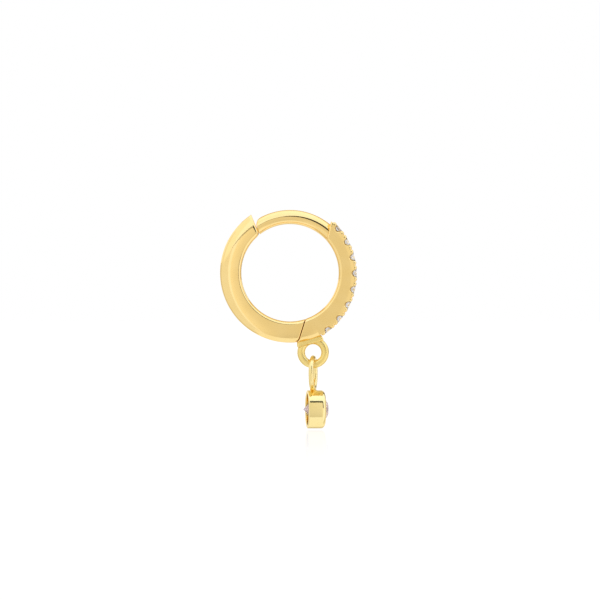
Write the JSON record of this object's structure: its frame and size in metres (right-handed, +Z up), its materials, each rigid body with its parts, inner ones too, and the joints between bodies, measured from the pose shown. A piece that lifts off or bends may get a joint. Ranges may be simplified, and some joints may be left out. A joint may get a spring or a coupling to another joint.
{
  "type": "hoop charm earring",
  "caption": "Small hinged hoop earring with a pave front, round ear post, hidden snap catch and a bezel-set charm hanging from a fixed ring.",
  "frame": {"origin": "centre of the ear post's section at the top of the hoop, where the earring hangs in the lobe", "axes": "+X to the front of the earring, +Z up, +Y across the hoop, away from the side that the picture shows"},
  "size_m": [0.0102, 0.003, 0.0164],
  "materials": {
    "gold": "polished yellow gold",
    "clear_stone": "clear, cut and polished",
    "pink_stone": "pink, cut and polished"
  },
  "bodies": {
    "front": {"front_half": "gold", "pave_stone_1": "clear_stone", "pave_stone_2": "clear_stone", "pave_stone_3": "clear_stone", "pave_stone_4": "clear_stone", "pave_stone_5": "clear_stone", "pave_stone_6": "clear_stone", "pave_stone_7": "clear_stone", "pave_stone_8": "clear_stone"},
    "back": {"back_half": "gold", "hinge_pin": "gold"},
    "charm": {"charm_bezel": "gold", "charm_stone": "pink_stone"}
  },
  "joints": [
    {"name": "hoop_hinge", "type": "hinge", "parent": "front", "child": "back", "pos_m": [0.00014, 0, -0.00887], "axis": [0, -1, 0], "range_deg": [0, 45]},
    {"name": "charm_swing", "type": "hinge", "parent": "front", "child": "charm", "pos_m": [0.00173, 0, -0.01015], "axis": [0, -1, 0], "range_deg": [-65, 65]}
  ]
}
